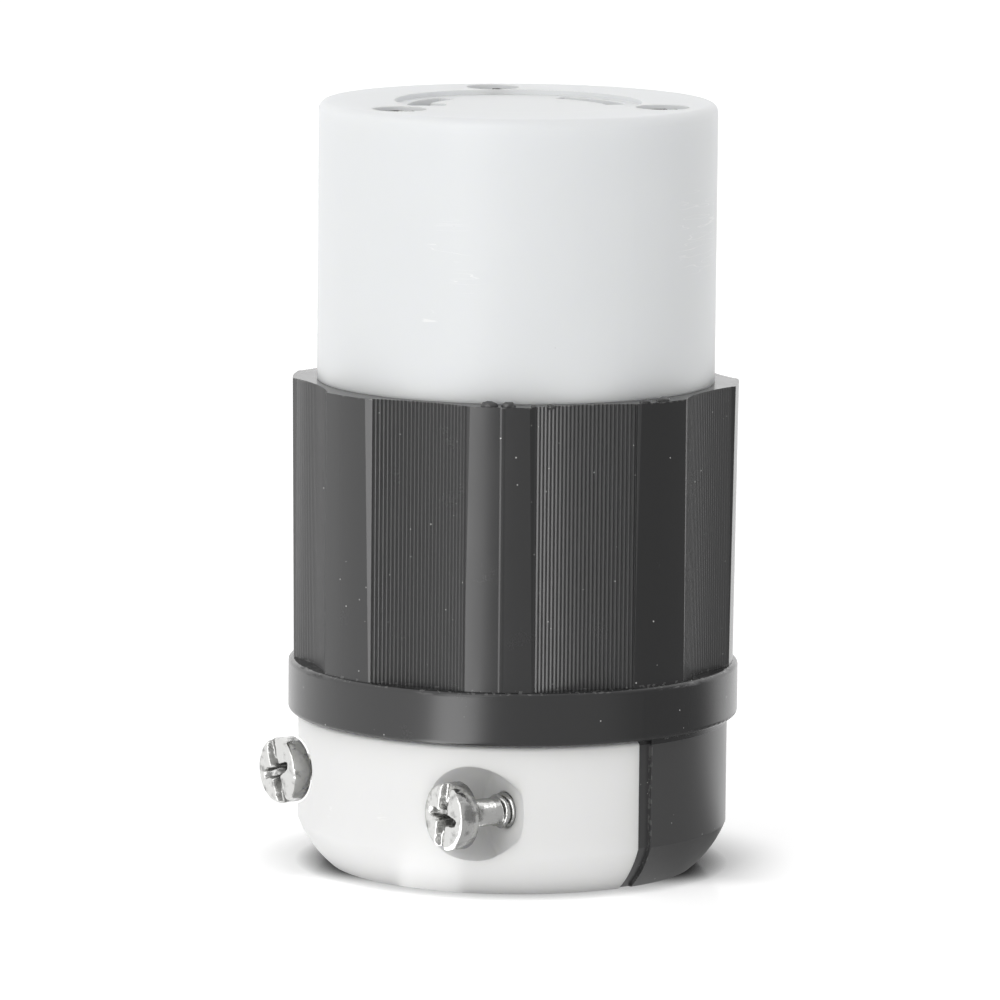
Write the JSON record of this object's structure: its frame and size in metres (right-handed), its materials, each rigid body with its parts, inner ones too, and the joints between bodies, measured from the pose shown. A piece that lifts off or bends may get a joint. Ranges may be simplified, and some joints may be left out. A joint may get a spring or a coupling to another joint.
{
  "type": "locking cord connector",
  "caption": "Round cord connector with curved locking contact slots, a fluted grip and a screwed cord clamp at its foot.",
  "frame": {"origin": "on the connector's axis, at the level of the cord end on which it stands", "axes": "+Z along the axis from the cord end to the contact face; -Y is the side of the clamp screws' heads"},
  "size_m": [0.0446, 0.0446, 0.0758],
  "materials": {
    "black_nylon": "moulded nylon, satin",
    "white_nylon": "moulded nylon, slightly translucent",
    "zinc_steel": "zinc plated",
    "nickel_steel": "nickel plated",
    "green_steel": "dyed green over plating",
    "brass": "stamped or turned, bare"
  },
  "bodies": {
    "housing": {"housing": "black_nylon", "front_body": "white_nylon", "contact_block": "white_nylon", "contact_carrier": "black_nylon", "clamp_insert_left": "brass", "clamp_insert_right": "brass", "line_contact": "brass", "neutral_contact": "brass", "ground_contact": "brass", "line_terminal_screw": "brass", "neutral_terminal_screw": "nickel_steel", "ground_terminal_screw": "green_steel", "line_pressure_plate": "brass", "neutral_pressure_plate": "nickel_steel", "ground_pressure_plate": "brass", "assembly_screw_1": "zinc_steel", "assembly_insert_1": "brass", "assembly_screw_2": "zinc_steel", "assembly_insert_2": "brass", "assembly_screw_3": "zinc_steel", "assembly_insert_3": "brass"},
    "clamp_jaw": {"clamp_jaw": "white_nylon"},
    "clamp_screw_left": {"clamp_screw_left": "zinc_steel"},
    "clamp_screw_right": {"clamp_screw_right": "zinc_steel"}
  },
  "joints": [
    {"name": "jaw_slide", "type": "slide", "parent": "housing", "child": "clamp_jaw", "axis": [0, -1, 0], "range_m": [0, 0.0035]},
    {"name": "screw_left_drive", "type": "slide", "parent": "clamp_jaw", "child": "clamp_screw_left", "axis": [0, 1, 0], "range_m": [0, 0.005]},
    {"name": "screw_right_drive", "type": "slide", "parent": "clamp_jaw", "child": "clamp_screw_right", "axis": [0, 1, 0], "range_m": [0, 0.005]}
  ]
}
